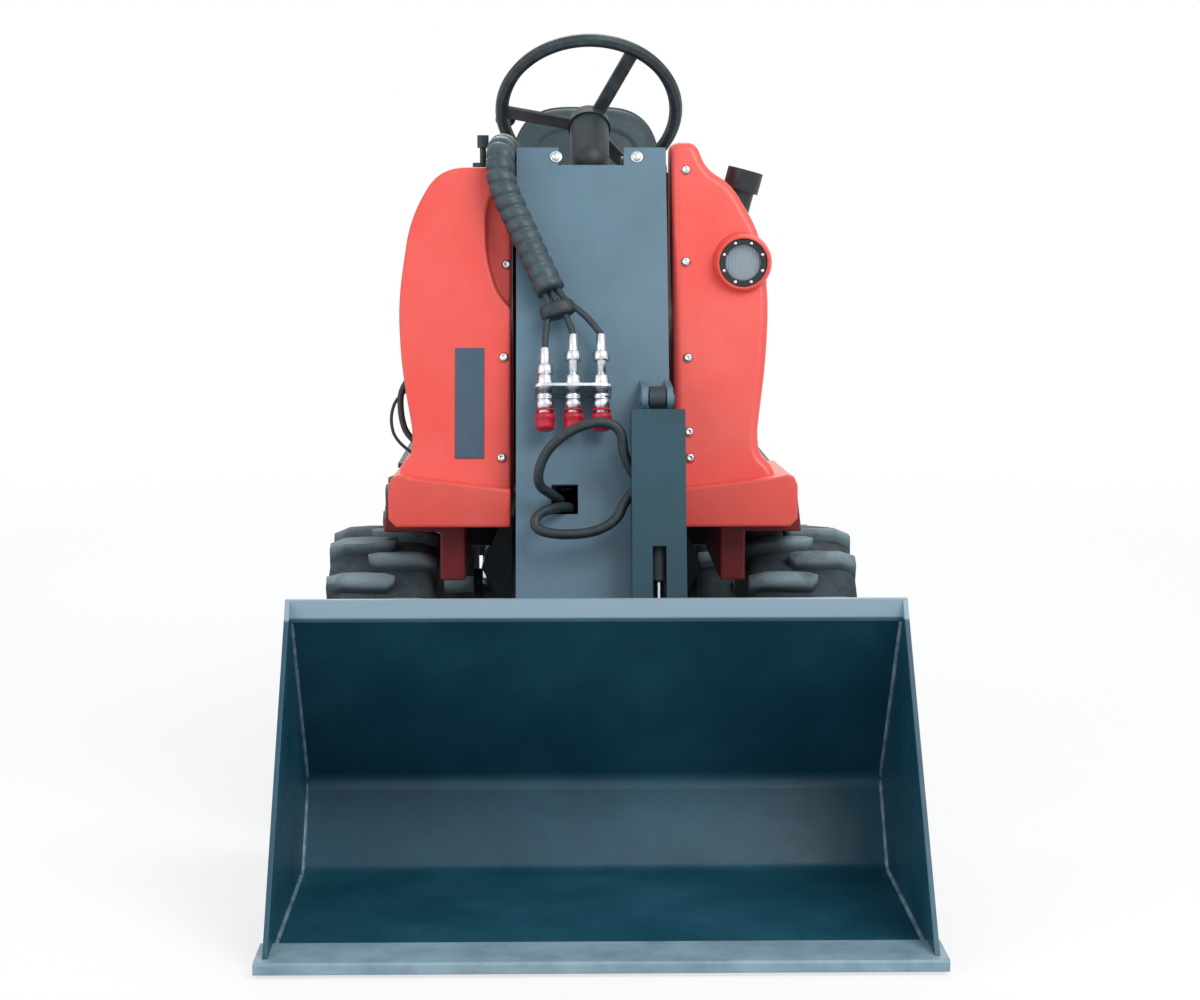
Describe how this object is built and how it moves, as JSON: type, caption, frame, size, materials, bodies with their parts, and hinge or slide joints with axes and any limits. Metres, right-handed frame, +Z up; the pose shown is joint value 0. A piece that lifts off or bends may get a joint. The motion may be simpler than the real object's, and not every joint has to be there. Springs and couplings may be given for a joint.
{
  "type": "articulated mini loader",
  "caption": "Compact articulated wheel loader with a centre boom, loading bucket, open operator's seat, red moulded side cowls, steering wheel and an engine hood behind.",
  "frame": {"origin": "on the ground, in the middle of the machine's length and width, boom down", "axes": "+X to the operator's left, +Y to the rear, +Z up"},
  "size_m": [1.064, 2.5, 1.4966],
  "materials": {
    "boom_paint": "slate blue satin paint",
    "bucket_paint": "slate paint, worn inside",
    "chassis_paint": "dark grey satin paint",
    "red_cowl": "moulded red plastic",
    "tyre_rubber": "matt rubber",
    "rim_paint": "light grey paint",
    "black_plastic": "matt black",
    "black_vinyl": "black vinyl",
    "steel": "bright plated steel",
    "rod_chrome": "hard chrome",
    "lamp_glass": "clear lens",
    "tail_red": "red lamp lens",
    "engine_iron": "cast iron",
    "weight_iron": "painted counterweight"
  },
  "bodies": {
    "front_body": {"front_chassis": "chassis_paint", "floor_pan": "chassis_paint", "cowl_left": "red_cowl", "cowl_right": "red_cowl", "headlight_ring": "black_plastic", "headlight_lens": "lamp_glass", "filler_cap": "black_plastic", "steering_column": "boom_paint", "seat_pedestal": "chassis_paint", "seat_cushion": "black_vinyl", "seat_back": "black_vinyl", "joystick": "black_plastic", "pedals": "black_plastic", "front_wheel_motors": "chassis_paint"},
    "rear_body": {"rear_chassis": "chassis_paint", "engine_block": "engine_iron", "bumper": "weight_iron", "tail_lamps": "tail_red", "rear_wheel_motors": "chassis_paint"},
    "hood_body": {"hood": "red_cowl"},
    "steering_wheel_body": {"steering_wheel": "black_plastic"},
    "boom_body": {"boom": "boom_paint", "coupler_bracket": "boom_paint", "couplers": "steel"},
    "bucket_body": {"quick_hitch": "boom_paint", "bucket": "bucket_paint", "cutting_edge": "bucket_paint"},
    "lift_barrel_body": {"lift_barrel": "chassis_paint"},
    "lift_rod_body": {"lift_rod": "rod_chrome"},
    "tilt_barrel_body": {"tilt_barrel": "chassis_paint", "tilt_guard": "boom_paint"},
    "tilt_rod_body": {"tilt_rod": "rod_chrome"},
    "steer_barrel_body": {"steer_barrel": "chassis_paint"},
    "steer_rod_body": {"steer_rod": "rod_chrome"},
    "front_left_wheel": {"front_left_tyre": "tyre_rubber", "front_left_rim": "rim_paint"},
    "front_right_wheel": {"front_right_tyre": "tyre_rubber", "front_right_rim": "rim_paint"},
    "rear_left_wheel": {"rear_left_tyre": "tyre_rubber", "rear_left_rim": "rim_paint"},
    "rear_right_wheel": {"rear_right_tyre": "tyre_rubber", "rear_right_rim": "rim_paint"}
  },
  "joints": [
    {"name": "boom_lift", "type": "hinge", "parent": "front_body", "child": "boom_body", "pos_m": [0, -0.16, 1.225], "axis": [-1, 0, 0], "range_deg": [0, 105]},
    {"name": "bucket_tilt", "type": "hinge", "parent": "boom_body", "child": "bucket_body", "pos_m": [0, -0.56, 0.23], "axis": [1, 0, 0], "range_deg": [-20, 72]},
    {"name": "articulation", "type": "hinge", "parent": "front_body", "child": "rear_body", "pos_m": [0, 0.31, 0.415], "axis": [0, 0, 1], "range_deg": [-40, 40]},
    {"name": "hood_open", "type": "hinge", "parent": "rear_body", "child": "hood_body", "pos_m": [0, 1.202, 0.602], "axis": [-1, 0, 0], "range_deg": [0, 60]},
    {"name": "steering", "type": "hinge", "parent": "front_body", "child": "steering_wheel_body", "pos_m": [0, 0.085, 1.352], "axis": [0, 0.766, 0.6428], "continuous": true},
    {"name": "lift_barrel_swing", "type": "hinge", "parent": "front_body", "child": "lift_barrel_body", "pos_m": [0, -0.11675, 0.42617], "axis": [1, 0, 0], "range_deg": [-5, 5]},
    {"name": "lift_rod_slide", "type": "slide", "parent": "lift_barrel_body", "child": "lift_rod_body", "axis": [0, -0.2217, 0.9751], "range_m": [-0.001, 0.4139]},
    {"name": "tilt_barrel_swing", "type": "hinge", "parent": "boom_body", "child": "tilt_barrel_body", "pos_m": [0.114, -0.46227, 0.82164], "axis": [1, 0, 0], "range_deg": [-12, 12]},
    {"name": "tilt_rod_slide", "type": "slide", "parent": "tilt_barrel_body", "child": "tilt_rod_body", "axis": [0, -0.2747, -0.9615], "range_m": [-0.0348, 0.1201]},
    {"name": "steer_barrel_swing", "type": "hinge", "parent": "rear_body", "child": "steer_barrel_body", "pos_m": [-0.19, 0.56, 0.44], "axis": [0, 0, 1], "range_deg": [-22, 22]},
    {"name": "steer_rod_slide", "type": "slide", "parent": "steer_barrel_body", "child": "steer_rod_body", "axis": [0, -1, 0], "range_m": [-0.122, 0.122]},
    {"name": "front_left_roll", "type": "hinge", "parent": "front_body", "child": "front_left_wheel", "pos_m": [0.39, -0.19, 0.28], "axis": [1, 0, 0], "continuous": true},
    {"name": "front_right_roll", "type": "hinge", "parent": "front_body", "child": "front_right_wheel", "pos_m": [-0.39, -0.19, 0.28], "axis": [1, 0, 0], "continuous": true},
    {"name": "rear_left_roll", "type": "hinge", "parent": "rear_body", "child": "rear_left_wheel", "pos_m": [0.35, 0.81, 0.28], "axis": [1, 0, 0], "continuous": true},
    {"name": "rear_right_roll", "type": "hinge", "parent": "rear_body", "child": "rear_right_wheel", "pos_m": [-0.35, 0.81, 0.28], "axis": [1, 0, 0], "continuous": true}
  ],
  "couplings": [
    {"joint": "lift_barrel_swing", "follows": "boom_lift", "ratio": 0.02539},
    {"joint": "lift_rod_slide", "follows": "boom_lift", "m_per_rad": 0.22475},
    {"joint": "tilt_barrel_swing", "follows": "bucket_tilt", "ratio": -0.0925},
    {"joint": "tilt_rod_slide", "follows": "bucket_tilt", "m_per_rad": 0.094},
    {"joint": "steer_barrel_swing", "follows": "articulation", "ratio": -0.5},
    {"joint": "steer_rod_slide", "follows": "articulation", "m_per_rad": -0.17189}
  ]
}
